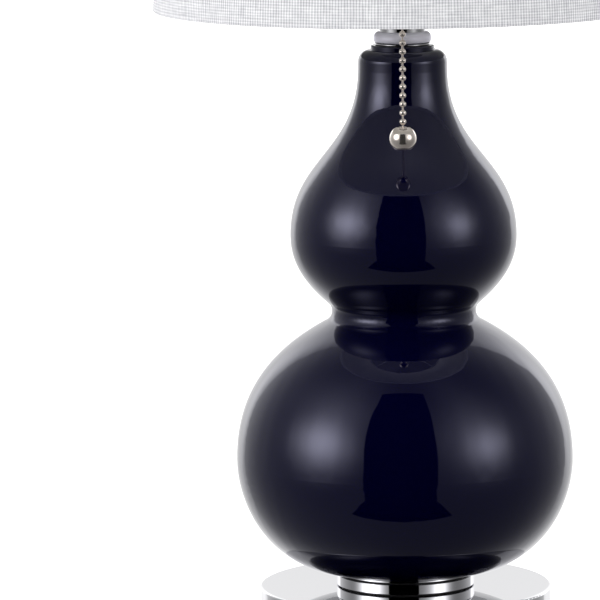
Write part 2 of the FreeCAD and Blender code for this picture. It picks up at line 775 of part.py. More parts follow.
def make_chain_spout():
    """Tube from the switch outwards, bent down to a flared mouth."""
    wall_start = CAM_DIAMETER / 2 + 3 * CAM_SIDE_GAP
    start = cam_centre - Y_AXIS * wall_start
    length = SPOUT_REACH - wall_start
    tube = bent_tube(SPOUT_DIAMETER, start, length, SPOUT_BEND_RADIUS, -SPOUT_DROP)
    wall = (SPOUT_DIAMETER - SPOUT_BORE) / 2
    flare = turned([
        (0, spout_mouth),
        (SPOUT_MOUTH_DIAMETER / 2, spout_mouth, wall / 2),
        (SPOUT_DIAMETER / 2, spout_mouth + SPOUT_FLARE_HEIGHT),
        (0, spout_mouth + SPOUT_FLARE_HEIGHT),
    ]).translated(FreeCAD.Vector(0, -chain_line, 0))
    throat = turned([
        (0, spout_mouth),
        (SPOUT_MOUTH_DIAMETER / 2 - wall, spout_mouth),
        (SPOUT_BORE / 2, spout_mouth + SPOUT_FLARE_HEIGHT),
        (0, spout_mouth + SPOUT_FLARE_HEIGHT),
    ]).translated(FreeCAD.Vector(0, -chain_line, 0))
    bore = bent_tube(SPOUT_BORE, start, length, SPOUT_BEND_RADIUS, -SPOUT_DROP)
    return tube.fuse(flare).cut(bore).cut(throat).removeSplitter()


def ball_run(lowest, count, bottom=None, top=None):
    """Turned run of balls joined by pins, with a pin end reaching down to bottom or up to top if given."""
    radius = CHAIN_BALL_DIAMETER / 2
    pin = CHAIN_PIN_DIAMETER / 2
    pole = math.sqrt(radius * radius - pin * pin)
    outline = []
    here = section_point(0, lowest - radius)
    if bottom is not None:
        pin_foot = section_point(pin, bottom)
        here = section_point(pin, lowest - pole)
        outline += line(section_point(0, bottom), pin_foot, here)
    start = outline[0].Vertexes[0].Point if outline else here
    for i in range(count):
        centre = section_point(0, lowest + i * CHAIN_PITCH)
        closes = i == count - 1 and top is None
        end = centre + Z_AXIS * radius if closes else centre + section_point(pin, pole)
        outline.append(Part.Arc(here, centre + X_AXIS * radius, end).toShape())
        here = end
        if i < count - 1:
            here = centre + section_point(pin, CHAIN_PITCH - pole)
            outline += line(end, here)
    if top is not None:
        pin_head = section_point(pin, top)
        here = section_point(0, top)
        outline += line(end, pin_head, here)
    outline += line(here, start)
    return spin(outline).translated(FreeCAD.Vector(0, -chain_line, 0))


def make_chain_lead():
    """The balls held in the spout, down to the one that the chain swings from."""
    return ball_run(pivot_level, LEAD_BALLS)


def make_swivel_ball():
    """First hanging ball, with its pin reaching up to just under the ball above it."""
    pin_top = pivot_level - CHAIN_BALL_DIAMETER / 2 - LINK_GAP
    return ball_run(pivot_level - CHAIN_PITCH, 1, top=pin_top)


def make_chain():
    """The free balls, with a pin down into the pendant and one up to the swivel ball."""
    hole_floor = pendant_level + PENDANT_TOP_FLAT - PENDANT_HOLE_DEPTH
    pin_top = pivot_level - CHAIN_PITCH - CHAIN_BALL_DIAMETER / 2 - LINK_GAP
    return ball_run(last_ball, CHAIN_BALLS, bottom=hole_floor, top=pin_top)


def make_pendant():
    """Ball with a flat faced off above and below, countersunk and drilled from the top for the chain's end."""
    radius = PENDANT_DIAMETER / 2
    hole = PENDANT_HOLE_DIAMETER / 2
    top = PENDANT_TOP_FLAT
    hole_floor = top - PENDANT_HOLE_DEPTH
    top_edge = section_point(math.sqrt(radius ** 2 - top ** 2), top)
    bottom_edge = section_point(math.sqrt(radius ** 2 - PENDANT_BOTTOM_FLAT ** 2), -PENDANT_BOTTOM_FLAT)
    side = Part.Arc(top_edge, section_point(radius, 0), bottom_edge).toShape()
    outline = [side] + line(
        bottom_edge,
        section_point(0, -PENDANT_BOTTOM_FLAT),
        section_point(0, hole_floor),
        section_point(hole, hole_floor),
        section_point(hole, top - PENDANT_COUNTERSINK_DEPTH),
        section_point(PENDANT_COUNTERSINK_DIAMETER / 2, top),
        top_edge)
    return spin(outline).translated(FreeCAD.Vector(0, -chain_line, pendant_level))


bulb_tip = switch_top + CONTACT_LIFT + BULB_TIP_GAP
bulb_cap_bottom = bulb_tip + BULB_TIP_HEIGHT
bulb_cap_top = bulb_cap_bottom + BULB_CAP_HEIGHT
housing_top = bulb_cap_top + BULB_HOUSING_HEIGHT
bulb_top = bulb_tip + BULB_LENGTH


def make_bulb_cap():
    """Screw cap with its insulator cone and the solder tip."""
    cap = turned([
        (0, bulb_tip),
        (BULB_TIP_DIAMETER / 2, bulb_tip, BULB_TIP_HEIGHT / 3),
        (BULB_CAP_DIAMETER / 2 - BULB_CAP_TAPER, bulb_cap_bottom),
        (BULB_CAP_DIAMETER / 2, bulb_cap_bottom + BULB_CAP_TAPER),
        (BULB_CAP_DIAMETER / 2, bulb_cap_top),
        (0, bulb_cap_top),
    ])
    return on_holder(cap)


def make_bulb_housing():
    neck = section_point(BULB_NECK_DIAMETER / 2, bulb_cap_top)
    rim = section_point(BULB_DIAMETER / 2 - BULB_SEAM_INSET, housing_top)
    hold = BULB_HOUSING_HEIGHT * BULB_FLARE_HOLD
    side = curve(neck, neck + Z_AXIS * hold, rim - toward(BULB_SEAM_SLOPE) * hold, rim)
    outline = [side] + line(rim, section_point(0, housing_top), section_point(0, bulb_cap_top), neck)
    return on_holder(spin(outline))


def make_bulb_globe():
    """Sealed opal dome."""
    radius = BULB_DIAMETER / 2
    rim = section_point(radius - BULB_SEAM_INSET, housing_top)
    widest = section_point(radius, bulb_top - radius)
    crown = section_point(0, bulb_top)
    hold = (widest.z - rim.z) / 3
    low = curve(rim, rim + toward(BULB_SEAM_SLOPE) * hold, widest - Z_AXIS * hold, widest)
    high = Part.Arc(widest, section_point(0, bulb_top - radius) + toward(45) * radius, crown).toShape()
    return on_holder(spin([low, high] + line(crown, section_point(0, housing_top), rim)))


side_makers = {
    "arm": make_front_arm,
    "arm_nut": make_front_arm_nut,
    "holder_cap": make_holder_cap,
    "holder_shell": make_holder_shell,
    "card_liner": make_card_liner,
    "switch_body": make_switch_body,
    "switch_cam": make_switch_cam,
    "screw_shell": make_screw_shell,
    "centre_contact": make_centre_contact,
    "chain_spout": make_chain_spout,
    "chain_lead": make_chain_lead,
    "swivel_ball": make_swivel_ball,
    "chain": make_chain,
    "pendant": make_pendant,
    "bulb_cap": make_bulb_cap,
    "bulb_housing": make_bulb_housing,
    "bulb_globe": make_bulb_globe,
}

for name, make in side_makers.items():
    front = make()
    write("front_" + name, front)
    write("rear_" + name, front.rotated(ORIGIN, Z_AXIS, 180))

# ---- Shade, on its riser ----

shade_bottom = cap_bottom + SHADE_DROP
shade_top = shade_bottom + SHADE_HEIGHT
hub_bottom = shade_top - SPIDER_RECESS
hub_top = hub_bottom + SPIDER_HUB_THICKNESS
seat_flange = hub_bottom - SEAT_HEIGHT
post_hole = POST_DIAMETER + 2 * POST_CLEARANCE
riser_bottom = cluster_top - CLUSTER_WALL - RISER_ENGAGEMENT
shade_lean = (SHADE_BOTTOM_DIAMETER - SHADE_TOP_DIAMETER) / 2 / SHADE_HEIGHT
hem_depth = SHADE_FABRIC + SHADE_LINING + SHADE_WIRE + 2 * SHADE_WIRE_GAP
wire_depth = hem_depth - SHADE_WIRE_GAP - SHADE_WIRE / 2
bottom_wire_height = shade_bottom + SHADE_FABRIC + SHADE_WIRE_GAP + SHADE_WIRE / 2
top_wire_height = shade_top - SHADE_FABRIC - SHADE_WIRE_GAP - SHADE_WIRE / 2


def shade_radius(height, depth=0.0):
    """Radius of the drum at a height, measured in from its outer face by depth."""
    return SHADE_BOTTOM_DIAMETER / 2 - (height - shade_bottom) * shade_lean - depth


def drum_point(height, depth):
    return (shade_radius(height, depth), height)


def make_shade_fabric():
    """Cloth skin, turned in round the wire at both rims."""
    rim_round = SHADE_EDGE_RADIUS
    fold_round = SHADE_EDGE_RADIUS - SHADE_FABRIC
    inner_depth = hem_depth + SHADE_FABRIC
    low = shade_bottom
    high = shade_top
    t = SHADE_FABRIC
    drum = turned([
        drum_point(low, 0) + (rim_round,),
        drum_point(high, 0) + (rim_round,),
        drum_point(high, inner_depth) + (rim_round,),
        drum_point(high - SHADE_TURN_IN, inner_depth),
        drum_point(high - SHADE_TURN_IN, hem_depth),
        drum_point(high - t, hem_depth) + (fold_round,),
        drum_point(high - t, t) + (fold_round,),
        drum_point(low + t, t) + (fold_round,),
        drum_point(low + t, hem_depth) + (fold_round,),
        drum_point(low + SHADE_TURN_IN, hem_depth),
        drum_point(low + SHADE_TURN_IN, inner_depth),
        drum_point(low, inner_depth) + (rim_round,),
    ])
    for slit in spokes(SHADE_WIRE + 2 * SHADE_WIRE_GAP):
        drum = drum.cut(slit)
    return drum


def make_shade_lining():
    start = bottom_wire_height
    end = top_wire_height
    outer = SHADE_FABRIC
    inner = SHADE_FABRIC + SHADE_LINING
    return turned([drum_point(start, outer), drum_point(end, outer), drum_point(end, inner), drum_point(start, inner)])


def wire_ring(height):
    return Part.makeTorus(shade_radius(height, wire_depth), SHADE_WIRE / 2, FreeCAD.Vector(0, 0, height), Z_AXIS)


def spokes(diameter):
    """Round bars that run level from the hub, then climb to the middle of the top wire."""
    ring_radius = shade_radius(top_wire_height, wire_depth)
    inner_end = FreeCAD.Vector(SPIDER_HUB_DIAMETER / 3, 0, hub_top)
    knee = FreeCAD.Vector(ring_radius - SPOKE_CLIMB, 0, hub_top)
    climb = FreeCAD.Vector(ring_radius, 0, top_wire_height) - knee
    level_run = Part.makeCylinder(diameter / 2, knee.x - inner_end.x, inner_end, X_AXIS)
    climb_run = Part.makeCylinder(diameter / 2, climb.Length, knee, climb)
    bar = level_run.fuse([Part.makeSphere(diameter / 2, knee), climb_run])
    return [bar.rotated(ORIGIN, Z_AXIS, 90 + 360 * i / SPIDER_SPOKES) for i in range(SPIDER_SPOKES)]


def make_spider():
    """Hub disc, spokes and top wire, welded into one frame."""
    frame = disc(SPIDER_HUB_DIAMETER, hub_bottom, hub_top).fuse([wire_ring(top_wire_height)] + spokes(SHADE_WIRE))
    return frame.cut(disc(post_hole, hub_bottom - OVERCUT, hub_top + SHADE_WIRE))


def make_shade_seat():
    """Turned coupling that screws over the riser and carries the hub and the finial's post."""
    shoulder = SEAT_DIAMETER / 2
    waist = PIPE_DIAMETER / 2 + SEAT_SOCKET_WALL
    socket_bottom = seat_flange - SEAT_SOCKET_DEPTH
    seat = turned([
        (0, socket_bottom),
        (waist, socket_bottom, SEAT_EDGE_RADIUS),
        (waist, seat_flange, SEAT_EDGE_RADIUS),
        (shoulder, seat_flange + SEAT_FLARE, SEAT_EDGE_RADIUS),
        (shoulder, hub_bottom, SEAT_EDGE_RADIUS),
        (POST_DIAMETER / 2, hub_bottom),
        (POST_DIAMETER / 2, hub_bottom + POST_LENGTH, SEAT_EDGE_RADIUS),
        (0, hub_bottom + POST_LENGTH),
    ])
    return seat.cut(disc(PIPE_DIAMETER, socket_bottom, seat_flange))


def make_finial():
    """Turned ball finial with a blind hole for the post."""
    low = hub_top + FINIAL_WASHER_THICKNESS
    foot = FINIAL_FOOT_DIAMETER / 2
    stem = FINIAL_STEM_DIAMETER / 2
    ball = FINIAL_BALL_DIAMETER / 2
    centre = low + FINIAL_HEIGHT - ball
    foot_top = low + FINIAL_FOOT_HEIGHT
    join = math.sqrt(ball * ball - stem * stem)
    ball_low = section_point(stem, centre - join)
    outline = line(
        section_point(0, low),
        section_point(foot, low),
        section_point(foot, foot_top),
        section_point(stem, foot_top + FINIAL_FOOT_TAPER),
        ball_low)
    outline.append(Part.Arc(ball_low, section_point(ball, centre), section_point(0, centre + ball)).toShape())
    outline += line(section_point(0, centre + ball), section_point(0, low))
    return spin(outline).cut(disc(post_hole, low, low + FINIAL_HOLE_DEPTH))


def make_finial_washer():
    return disc(FINIAL_WASHER_DIAMETER, hub_top, hub_top + FINIAL_WASHER_THICKNESS, post_hole)


write("riser_pipe", disc(PIPE_DIAMETER, riser_bottom, seat_flange, PIPE_BORE))
write("riser_nut", hexagon(RISER_NUT_FLATS, cluster_top, RISER_NUT_THICKNESS, PIPE_DIAMETER))
write("shade_seat", make_shade_seat())
write("spider", make_spider())
write("bottom_ring", wire_ring(bottom_wire_height))
write("shade_lining", make_shade_lining())
write("shade_fabric", make_shade_fabric())
write("finial_washer", make_finial_washer())
write("finial", make_finial())
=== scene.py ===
import math

import bmesh
import bpy
from mathutils import Matrix, Vector, noise


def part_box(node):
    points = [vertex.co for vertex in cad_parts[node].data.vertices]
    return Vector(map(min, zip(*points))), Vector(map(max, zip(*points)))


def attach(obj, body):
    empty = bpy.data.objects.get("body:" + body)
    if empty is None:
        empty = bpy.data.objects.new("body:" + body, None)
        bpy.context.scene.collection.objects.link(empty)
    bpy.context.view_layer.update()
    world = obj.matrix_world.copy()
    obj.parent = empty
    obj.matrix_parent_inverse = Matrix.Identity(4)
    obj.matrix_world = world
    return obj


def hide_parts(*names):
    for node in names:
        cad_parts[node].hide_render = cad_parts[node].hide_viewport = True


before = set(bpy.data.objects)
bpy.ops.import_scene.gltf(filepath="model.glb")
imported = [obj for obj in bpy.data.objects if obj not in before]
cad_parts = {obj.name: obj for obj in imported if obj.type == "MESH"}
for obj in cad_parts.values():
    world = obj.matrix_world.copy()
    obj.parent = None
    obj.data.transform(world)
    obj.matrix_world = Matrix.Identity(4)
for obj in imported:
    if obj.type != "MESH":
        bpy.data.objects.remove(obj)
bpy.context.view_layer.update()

# ---- Camera ----
# The photograph is a close crop taken from well back, level with the shade, looking a little down on the lamp.
# The lamp leans half a degree in it, which is the camera's own roll.

PHOTO_WIDTH = 600
FOCAL_PIXELS = 5136.0
SENSOR_WIDTH = 36.0
CAMERA_PLACE = Vector((0.0, -3.6455, 0.7337))
CAMERA_PITCH = math.radians(7.851)
CAMERA_YAW = math.radians(1.17)
CAMERA_ROLL = math.radians(-0.5)

camera_data = bpy.data.cameras.new("camera")
camera_data.sensor_width = SENSOR_WIDTH
camera_data.lens = FOCAL_PIXELS / PHOTO_WIDTH * SENSOR_WIDTH
camera = bpy.data.objects.new("camera", camera_data)
bpy.context.scene.collection.objects.link(camera)
camera_turn = Matrix.Rotation(CAMERA_YAW, 4, "Z") @ Matrix.Rotation(math.pi / 2 - CAMERA_PITCH, 4, "X")
camera.matrix_world = Matrix.Translation(CAMERA_PLACE) @ camera_turn @ Matrix.Rotation(CAMERA_ROLL, 4, "Z")
bpy.context.scene.camera = camera

# ---- Studio ----
# A dim room with soft boxes to either side of the camera, and a bright wall, sweep and two panels behind the lamp.
# An upright black flag round the camera is the dark stripe down the middle of everything polished.


def connect(node, inputs):
    """Give a node's sockets, by name or number, a value, a socket or another node's first output."""
    for name, value in inputs.items():
        if isinstance(value, bpy.types.Node):
            value = value.outputs[0]
        if isinstance(value, bpy.types.NodeSocket):
            node.id_data.links.new(value, node.inputs[name])
        else:
            node.inputs[name].default_value = value
    return node


def add_node(tree, kind, inputs=None, **settings):
    """A shader node with its settings and links."""
    node = tree.nodes.new("ShaderNode" + kind)
    for name, value in settings.items():
        setattr(node, name, value)
    return connect(node, inputs or {})


AMBIENT = 0.12
SOFT_BOXES = [
    # degrees round from the camera, height as the sine of its elevation, spread in degrees, rise, brightness
    (-60.6, 0.243, 13.4, 0.172, 5.60),  # left box
    (60.3, 0.198, 9.8, 0.142, 2.95),  # right box
    (-60.7, 0.626, 24.1, 0.166, 0.75),  # light that the left box throws up
    (53.5, 0.345, 18.0, 0.260, 1.00),  # light round the right box
    (-140, -0.500, 70.0, 0.971, 0.21),  # floor at the left
    (180, 0.265, 32.5, 0.331, 1.90),  # wall behind the lamp
    (180, -0.602, 25.8, 0.291, 1.70),  # sweep in front of that wall
    (180, 0.150, 9.0, 0.110, -0.90),  # dimmer middle of the wall
]
REAR_PANELS = [
    # the same five values
    (-149.2, 0.263, 6.0, 0.346, 1.25),
    (145.5, 0.260, 7.8, 0.313, 1.60),
]
# The panels end sharply so many degrees from straight behind
REAR_PANEL_EDGE = 38.3
# The flag is an upright board, so its edges are given on a plane one metre in front of the lamp. Below the top of
# its foot it flares by so much a metre.
FLAG_MIDDLE = -0.062
FLAG_HALF_WIDTH = 0.476
FLAG_LOW = -1.03
FLAG_HIGH = 2.05
FOOT_TOP = -0.52
FOOT_FLARE = 0.72
# Half the blur of every sharp edge
EDGE = 0.012
# A direction that points less far ahead than this counts as this far, so that nothing is divided by zero
LEAST_REACH = 0.001

world = bpy.data.worlds.new("studio")
bpy.context.scene.world = world
world.use_nodes = True
sky = world.node_tree
sky.nodes.clear()
direction = add_node(sky, "VectorMath", {0: add_node(sky, "TexCoord").outputs["Generated"]}, operation="NORMALIZE")
height = add_node(sky, "SeparateXYZ", {0: direction}).outputs["Z"]
level = add_node(sky, "VectorMath", {0: direction, 1: (1, 1, 0)}, operation="MULTIPLY")
level = add_node(sky, "VectorMath", {0: level}, operation="NORMALIZE")


def nearness(degrees):
    """Cosine of the level angle from a direction that many degrees round from the camera."""
    middle = (math.sin(math.radians(degrees)), -math.cos(math.radians(degrees)), 0)
    return add_node(sky, "VectorMath", {0: level, 1: middle}, operation="DOT_PRODUCT").outputs["Value"]


def glow(lights, total):
    """Add soft edged lights to a total."""
    for angle, middle, spread, rise, brightness in lights:
        narrow = math.radians(spread) ** -2
        across = add_node(sky, "Math", {0: nearness(angle), 1: narrow, 2: -narrow}, operation="MULTIPLY_ADD")
        above = add_node(sky, "Math", {0: height, 1: 1 / rise, 2: -middle / rise}, operation="MULTIPLY_ADD")
        above = add_node(sky, "Math", {0: above, 1: above}, operation="MULTIPLY")
        fall = add_node(sky, "Math", {0: above, 1: -0.5, 2: across}, operation="MULTIPLY_ADD")
        fall = add_node(sky, "Math", {0: fall}, operation="EXPONENT")
        total = add_node(sky, "Math", {0: fall, 1: brightness, 2: total}, operation="MULTIPLY_ADD")
    return total


def past(value, limit):
    """0 where a value is below a limit, 1 above it."""
    margin = add_node(sky, "Math", {0: value, 1: limit}, operation="SUBTRACT")
    return add_node(sky, "MapRange", {"Value": margin, "From Min": -EDGE, "From Max": EDGE},
                    interpolation_type="SMOOTHSTEP")


rear = past(nearness(180), math.cos(math.radians(REAR_PANEL_EDGE)))
rear = add_node(sky, "Math", {0: glow(REAR_PANELS, 0.0), 1: rear}, operation="MULTIPLY")
total = glow(SOFT_BOXES, add_node(sky, "Math", {0: rear, 1: AMBIENT}, operation="ADD"))

toward = add_node(sky, "SeparateXYZ", {0: direction})
ahead = add_node(sky, "Math", {0: toward.outputs["Y"], 1: -1.0}, operation="MULTIPLY")
reach = add_node(sky, "Math", {0: ahead, 1: LEAST_REACH}, operation="MAXIMUM")
board_x = add_node(sky, "Math", {0: toward.outputs["X"], 1: reach}, operation="DIVIDE")
board_x = add_node(sky, "Math", {0: board_x, 1: FLAG_MIDDLE}, operation="SUBTRACT")
board_x = add_node(sky, "Math", {0: board_x}, operation="ABSOLUTE")
board_z = add_node(sky, "Math", {0: toward.outputs["Z"], 1: reach}, operation="DIVIDE")
flare = add_node(sky, "Math", {0: FOOT_TOP, 1: board_z}, operation="SUBTRACT")
flare = add_node(sky, "Math", {0: flare, 1: 0.0}, operation="MAXIMUM")
half_width = add_node(sky, "Math", {0: flare, 1: FOOT_FLARE, 2: FLAG_HALF_WIDTH}, operation="MULTIPLY_ADD")
flag = add_node(sky, "Math", {0: past(half_width, board_x), 1: past(board_z, FLAG_LOW)}, operation="MULTIPLY")
flag = add_node(sky, "Math", {0: flag, 1: past(FLAG_HIGH, board_z)}, operation="MULTIPLY")
shown = add_node(sky, "Math", {0: 1.0, 1: flag}, operation="SUBTRACT")
total = add_node(sky, "Math", {0: total, 1: shown}, operation="MULTIPLY")
# The camera itself sees a white backdrop
seen = add_node(sky, "LightPath").outputs["Is Camera Ray"]
total = add_node(sky, "Math", {0: total, 1: seen}, operation="MAXIMUM")
background = add_node(sky, "Background", {"Strength": total})
add_node(sky, "OutputWorld", {"Surface": background})

# Wide fills for what is matt, hidden from reflections
FILLS = [
    # degrees round from the camera, elevation, angle across, irradiance
    (-75, 20, 110, 2.00),
    (0, 20, 110, 0.60),
    (75, 20, 110, 1.80),
    (0, -70, 120, 0.40),
]

for angle, elevation, across, strength in FILLS:
    fill_data = bpy.data.lights.new("fill", "SUN")
    fill_data.energy = strength
    fill_data.angle = math.radians(across)
    fill = bpy.data.objects.new("fill", fill_data)
    fill.matrix_world = Matrix.Rotation(math.radians(angle), 4, "Z") @ Matrix.Rotation(
        math.radians(90 - elevation), 4, "X")
    bpy.context.scene.collection.objects.link(fill)
    fill.visible_glossy = False

FLOOR_SIZE = 60.0
# The floor lies just under the felt, so that the two share no plane
FLOOR_DROP = 0.0003

floor_mesh = bpy.data.meshes.new("floor")
shape = bmesh.new()
bmesh.ops.create_grid(
    shape, x_segments=1, y_segments=1, size=FLOOR_SIZE / 2, matrix=Matrix.Translation((0, 0, -FLOOR_DROP)))
shape.to_mesh(floor_mesh)
shape.free()
floor = bpy.data.objects.new("floor", floor_mesh)
bpy.context.scene.collection.objects.link(floor)
floor.visible_glossy = False
floor.visible_diffuse = False


def linear(code):
    """Linear colour of an sRGB hex code."""
    parts = [int(code[i:i + 2], 16) / 255 for i in (1, 3, 5)]
    return tuple(c / 12.92 if c <= 0.04045 else ((c + 0.055) / 1.055) ** 2.4 for c in parts) + (1.0,)


def new_material(name, inputs):
    """A material with values on its shader's sockets, its node tree and its shader."""
    material = bpy.data.materials.new(name)
    material.use_nodes = True
    shader = connect(material.node_tree.nodes["Principled BSDF"], inputs)
    return material, material.node_tree, shader


white_floor, tree, shader = new_material("white painted sweep", {
    "Base Color": linear("#E7E7E7"), "Roughness": 1.0, "Specular IOR Level": 0.0,
    "Emission Color": (1, 1, 1, 1), "Emission Strength": 0.8})
# Seen from underneath the floor is clear, so that the felt can be looked at
under = add_node(tree, "NewGeometry").outputs["Backfacing"]
clear = add_node(tree, "BsdfTransparent")
connect(tree.nodes["Material Output"], {"Surface": add_node(tree, "MixShader", {0: under, 1: shader, 2: clear})})
floor_mesh.materials.append(white_floor)
bpy.context.scene.view_settings.view_transform = "Standard"

# ---- Base: felt, weight, shell and cord bushing ----
# A grey iron casting gives the lamp its weight, with a wool felt disc glued under it. A steel shell, spun and
# chrome plated, is pressed down over the casting, and a moulded rubber bushing lines its cord hole.


def finish(material, *nodes):
    """Give CAD nodes this material."""
    for node in nodes:
        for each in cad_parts[node].material_slots:
            each.material = material


# Needled wool felt: matt, fuzzy, dark green, its fibres in tufts
FELT_TUFT = 0.0012
felt, tree, shader = new_material("wool felt", {
    "Roughness": 0.95, "Sheen Weight": 0.5, "Sheen Roughness": 0.5, "Specular IOR Level": 0.2})
place = add_node(tree, "TexCoord").outputs["Object"]
fibres = add_node(tree, "TexNoise", {"Vector": place, "Scale": 1 / FELT_TUFT, "Detail": 6})
ramp = add_node(tree, "Mix", {"Factor": fibres, 6: linear("#16261D"), 7: linear("#2C4335")}, data_type="RGBA")
connect(shader, {"Base Color": ramp.outputs[2]})
connect(shader, {"Normal": add_node(tree, "Bump", {"Height": fibres, "Distance": 0.0006})})
finish(felt, "felt_pad")

# Sand-cast grey iron under a coat of black paint: dull, pitted by clumps of the mould's sand
SAND_CLUMP = 0.0016
iron, tree, shader = new_material("painted cast iron", {"Roughness": 0.55})
place = add_node(tree, "TexCoord").outputs["Object"]
sand = add_node(tree, "TexNoise", {"Vector": place, "Scale": 1 / SAND_CLUMP, "Detail": 5})
ramp = add_node(tree, "Mix", {"Factor": sand, 6: linear("#141415"), 7: linear("#2B2B2C")}, data_type="RGBA")
connect(shader, {"Base Color": ramp.outputs[2]})
connect(shader, {"Normal": add_node(tree, "Bump", {"Height": sand, "Distance": 0.0005})})
finish(iron, "base_weight")

# Chrome plate over buffed steel: a clear mirror, very slightly clouded where the buff has dwelt
BUFF_CLOUD = 0.018
chrome, tree, shader = new_material("polished chrome plate", {"Base Color": linear("#CFCFD2"), "Metallic": 1.0})
place = add_node(tree, "TexCoord").outputs["Object"]
cloud = add_node(tree, "TexNoise", {"Vector": place, "Scale": 1 / BUFF_CLOUD, "Detail": 4})
haze = add_node(tree, "MapRange", {
    "Value": cloud, "From Min": 0.35, "From Max": 0.75, "To Min": 0.022, "To Max": 0.05})
connect(shader, {"Roughness": haze})
finish(chrome, "base_shell")

# Moulded rubber: matt black with the mould's spark-eroded grain, drawn coarser than the real 0.1 mm so that it shows
SPARK_GRAIN = 0.0005
rubber, tree, shader = new_material("moulded rubber", {"Base Color": linear("#121212")})
place = add_node(tree, "TexCoord").outputs["Object"]
spark = add_node(tree, "TexNoise", {"Vector": place, "Scale": 1 / SPARK_GRAIN, "Detail": 2})
dull = add_node(tree, "MapRange", {"Value": spark, "To Min": 0.45, "To Max": 0.7})
connect(shader, {"Roughness": dull})
connect(shader, {"Normal": add_node(tree, "Bump", {"Height": spark, "Distance": 0.00004})})
finish(rubber, "cord_bushing")

# ---- Lamp pipe, washer and nut ----
# One threaded steel pipe, zinc plated, runs from the weight to the cluster. The nut and washer under the weight
# pull the whole stack together.

# 27 threads to the inch
PIPE_THREAD = 0.00094


def thread(tree, pitch, offset=0.0):
    """Screw thread from 0 to 1 about the line at y = offset or -offset: a wave that climbs one pitch a turn."""
    place = add_node(tree, "SeparateXYZ", {0: add_node(tree, "TexCoord").outputs["Object"]})
    across = add_node(tree, "Math", {0: place.outputs["Y"]}, operation="ABSOLUTE") if offset else place.outputs["Y"]
    across = add_node(tree, "Math", {0: across, 1: offset}, operation="SUBTRACT")
    turn = add_node(tree, "Math", {0: across, 1: place.outputs["X"]}, operation="ARCTAN2")
    climb = add_node(tree, "Math", {0: place.outputs["Z"], 1: math.tau / pitch, 2: turn}, operation="MULTIPLY_ADD")
    wave = add_node(tree, "Math", {0: climb}, operation="SINE")
    return add_node(tree, "Math", {0: wave, 1: 0.5, 2: 0.5}, operation="MULTIPLY_ADD")


# Zinc plate: pale, blue-grey, satin, with the bath's fine crystals drawn coarser so that they show
ZINC_CRYSTAL = 0.0008
zinc, tree, shader = new_material("zinc plated steel", {
    "Base Color": linear("#B9BEC4"), "Metallic": 1.0, "Roughness": 0.32})
place = add_node(tree, "TexCoord").outputs["Object"]
crystals = add_node(tree, "TexNoise", {"Vector": place, "Scale": 1 / ZINC_CRYSTAL, "Detail": 3})
connect(shader, {"Normal": add_node(tree, "Bump", {"Height": crystals, "Distance": 0.00003})})
finish(zinc, "bottom_washer", "bottom_nut")

# The same plate over a cut thread: bright lines across the pipe
threaded_zinc, tree, shader = new_material("threaded zinc plated steel", {
    "Base Color": linear("#B9BEC4"), "Metallic": 1.0, "Roughness": 0.3})
connect(shader, {"Normal": add_node(tree, "Bump", {"Height": thread(tree, PIPE_THREAD), "Distance": 0.0004})})
finish(threaded_zinc, "centre_pipe")

# ---- Ring and seat plate ----
# Turned steel, chrome plated like the base: the ring stands on the shell and the seat plate carries the gourd.
# A thin rubber gasket lies in each of the dark joints, clamped by the pipe.

finish(rubber, "ring_gasket", "plate_gasket", "neck_gasket")
finish(chrome, "base_ring", "seat_plate")

# ---- Gourd ----
# Stoneware thrown or cast in one piece and dipped in a midnight blue gloss glaze, which lies thick and nearly
# black, and gives sharp reflections that waver a little where it has run.

GLAZE_RUN = 0.030
GLAZE_SKIN = 0.006

# Gloss glaze over stoneware: a deep blue near black, under a glassy skin
glaze, tree, shader = new_material("midnight blue gloss glaze", {
    "IOR": 1.6, "Specular Tint": linear("#E2E2FF")})
place = add_node(tree, "Mapping", {
    "Vector": add_node(tree, "TexCoord").outputs["Object"], "Scale": (1, 1, 0.6)})
run = add_node(tree, "TexNoise", {"Vector": place, "Scale": 1 / GLAZE_RUN, "Detail": 2})
pool = add_node(tree, "Mix", {"Factor": run, 6: linear("#01011A"), 7: linear("#02021D")}, data_type="RGBA")
connect(shader, {"Base Color": pool.outputs[2]})
place = add_node(tree, "TexCoord").outputs["Object"]
skin = add_node(tree, "TexNoise", {"Vector": place, "Scale": 1 / GLAZE_SKIN, "Detail": 4})
skin = add_node(tree, "MapRange", {"Value": skin, "To Min": 0.022, "To Max": 0.04})
connect(shader, {"Roughness": skin})
connect(shader, {"Normal": add_node(tree, "Bump", {"Height": run, "Distance": 0.00025, "Strength": 0.5})})
finish(glaze, "gourd_body")

# ---- Neck cap and column ----
# A brass cap closes the gourd's lip. It is turned with a thick rounded body over a thin rim, and plated: the body
# is satin, the rim and the column tube that stands in its socket are polished.

CAP_SPIGOT_HEIGHT = 0.005
CAP_SPIGOT_RADIUS = 0.0148
CAP_RIM_HEIGHT = 0.0015
CAP_RIM_SETBACK = 0.0007
CAP_RIM_SLOPE = 0.00025
CAP_CROWN_ROUND = 0.0044
CAP_FOOT_ROUND = 0.0030
CAP_EDGE_ROUND = 0.0003
CAP_FIT = 0.00005
CAP_STEPS = 128
ROUND_SEGMENTS = 8
SATIN_FACES, POLISHED_FACES = 0, 1
# A face whose normal is this near upright, or this near level, is shaded flat
UPRIGHT = 0.999
LEVEL = 0.001
SAME_PLACE = 0.000002

cap_low, cap_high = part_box("neck_cap")
pipe_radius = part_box("centre_pipe")[1][0] + CAP_FIT
tube_low, tube_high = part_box("column_tube")
socket_radius = tube_high[0] + CAP_FIT
cap_radius = cap_high[0]
rim_radius = cap_radius - CAP_RIM_SETBACK
rim_foot = cap_low[2] + CAP_SPIGOT_HEIGHT
rim_head = rim_foot + CAP_RIM_HEIGHT


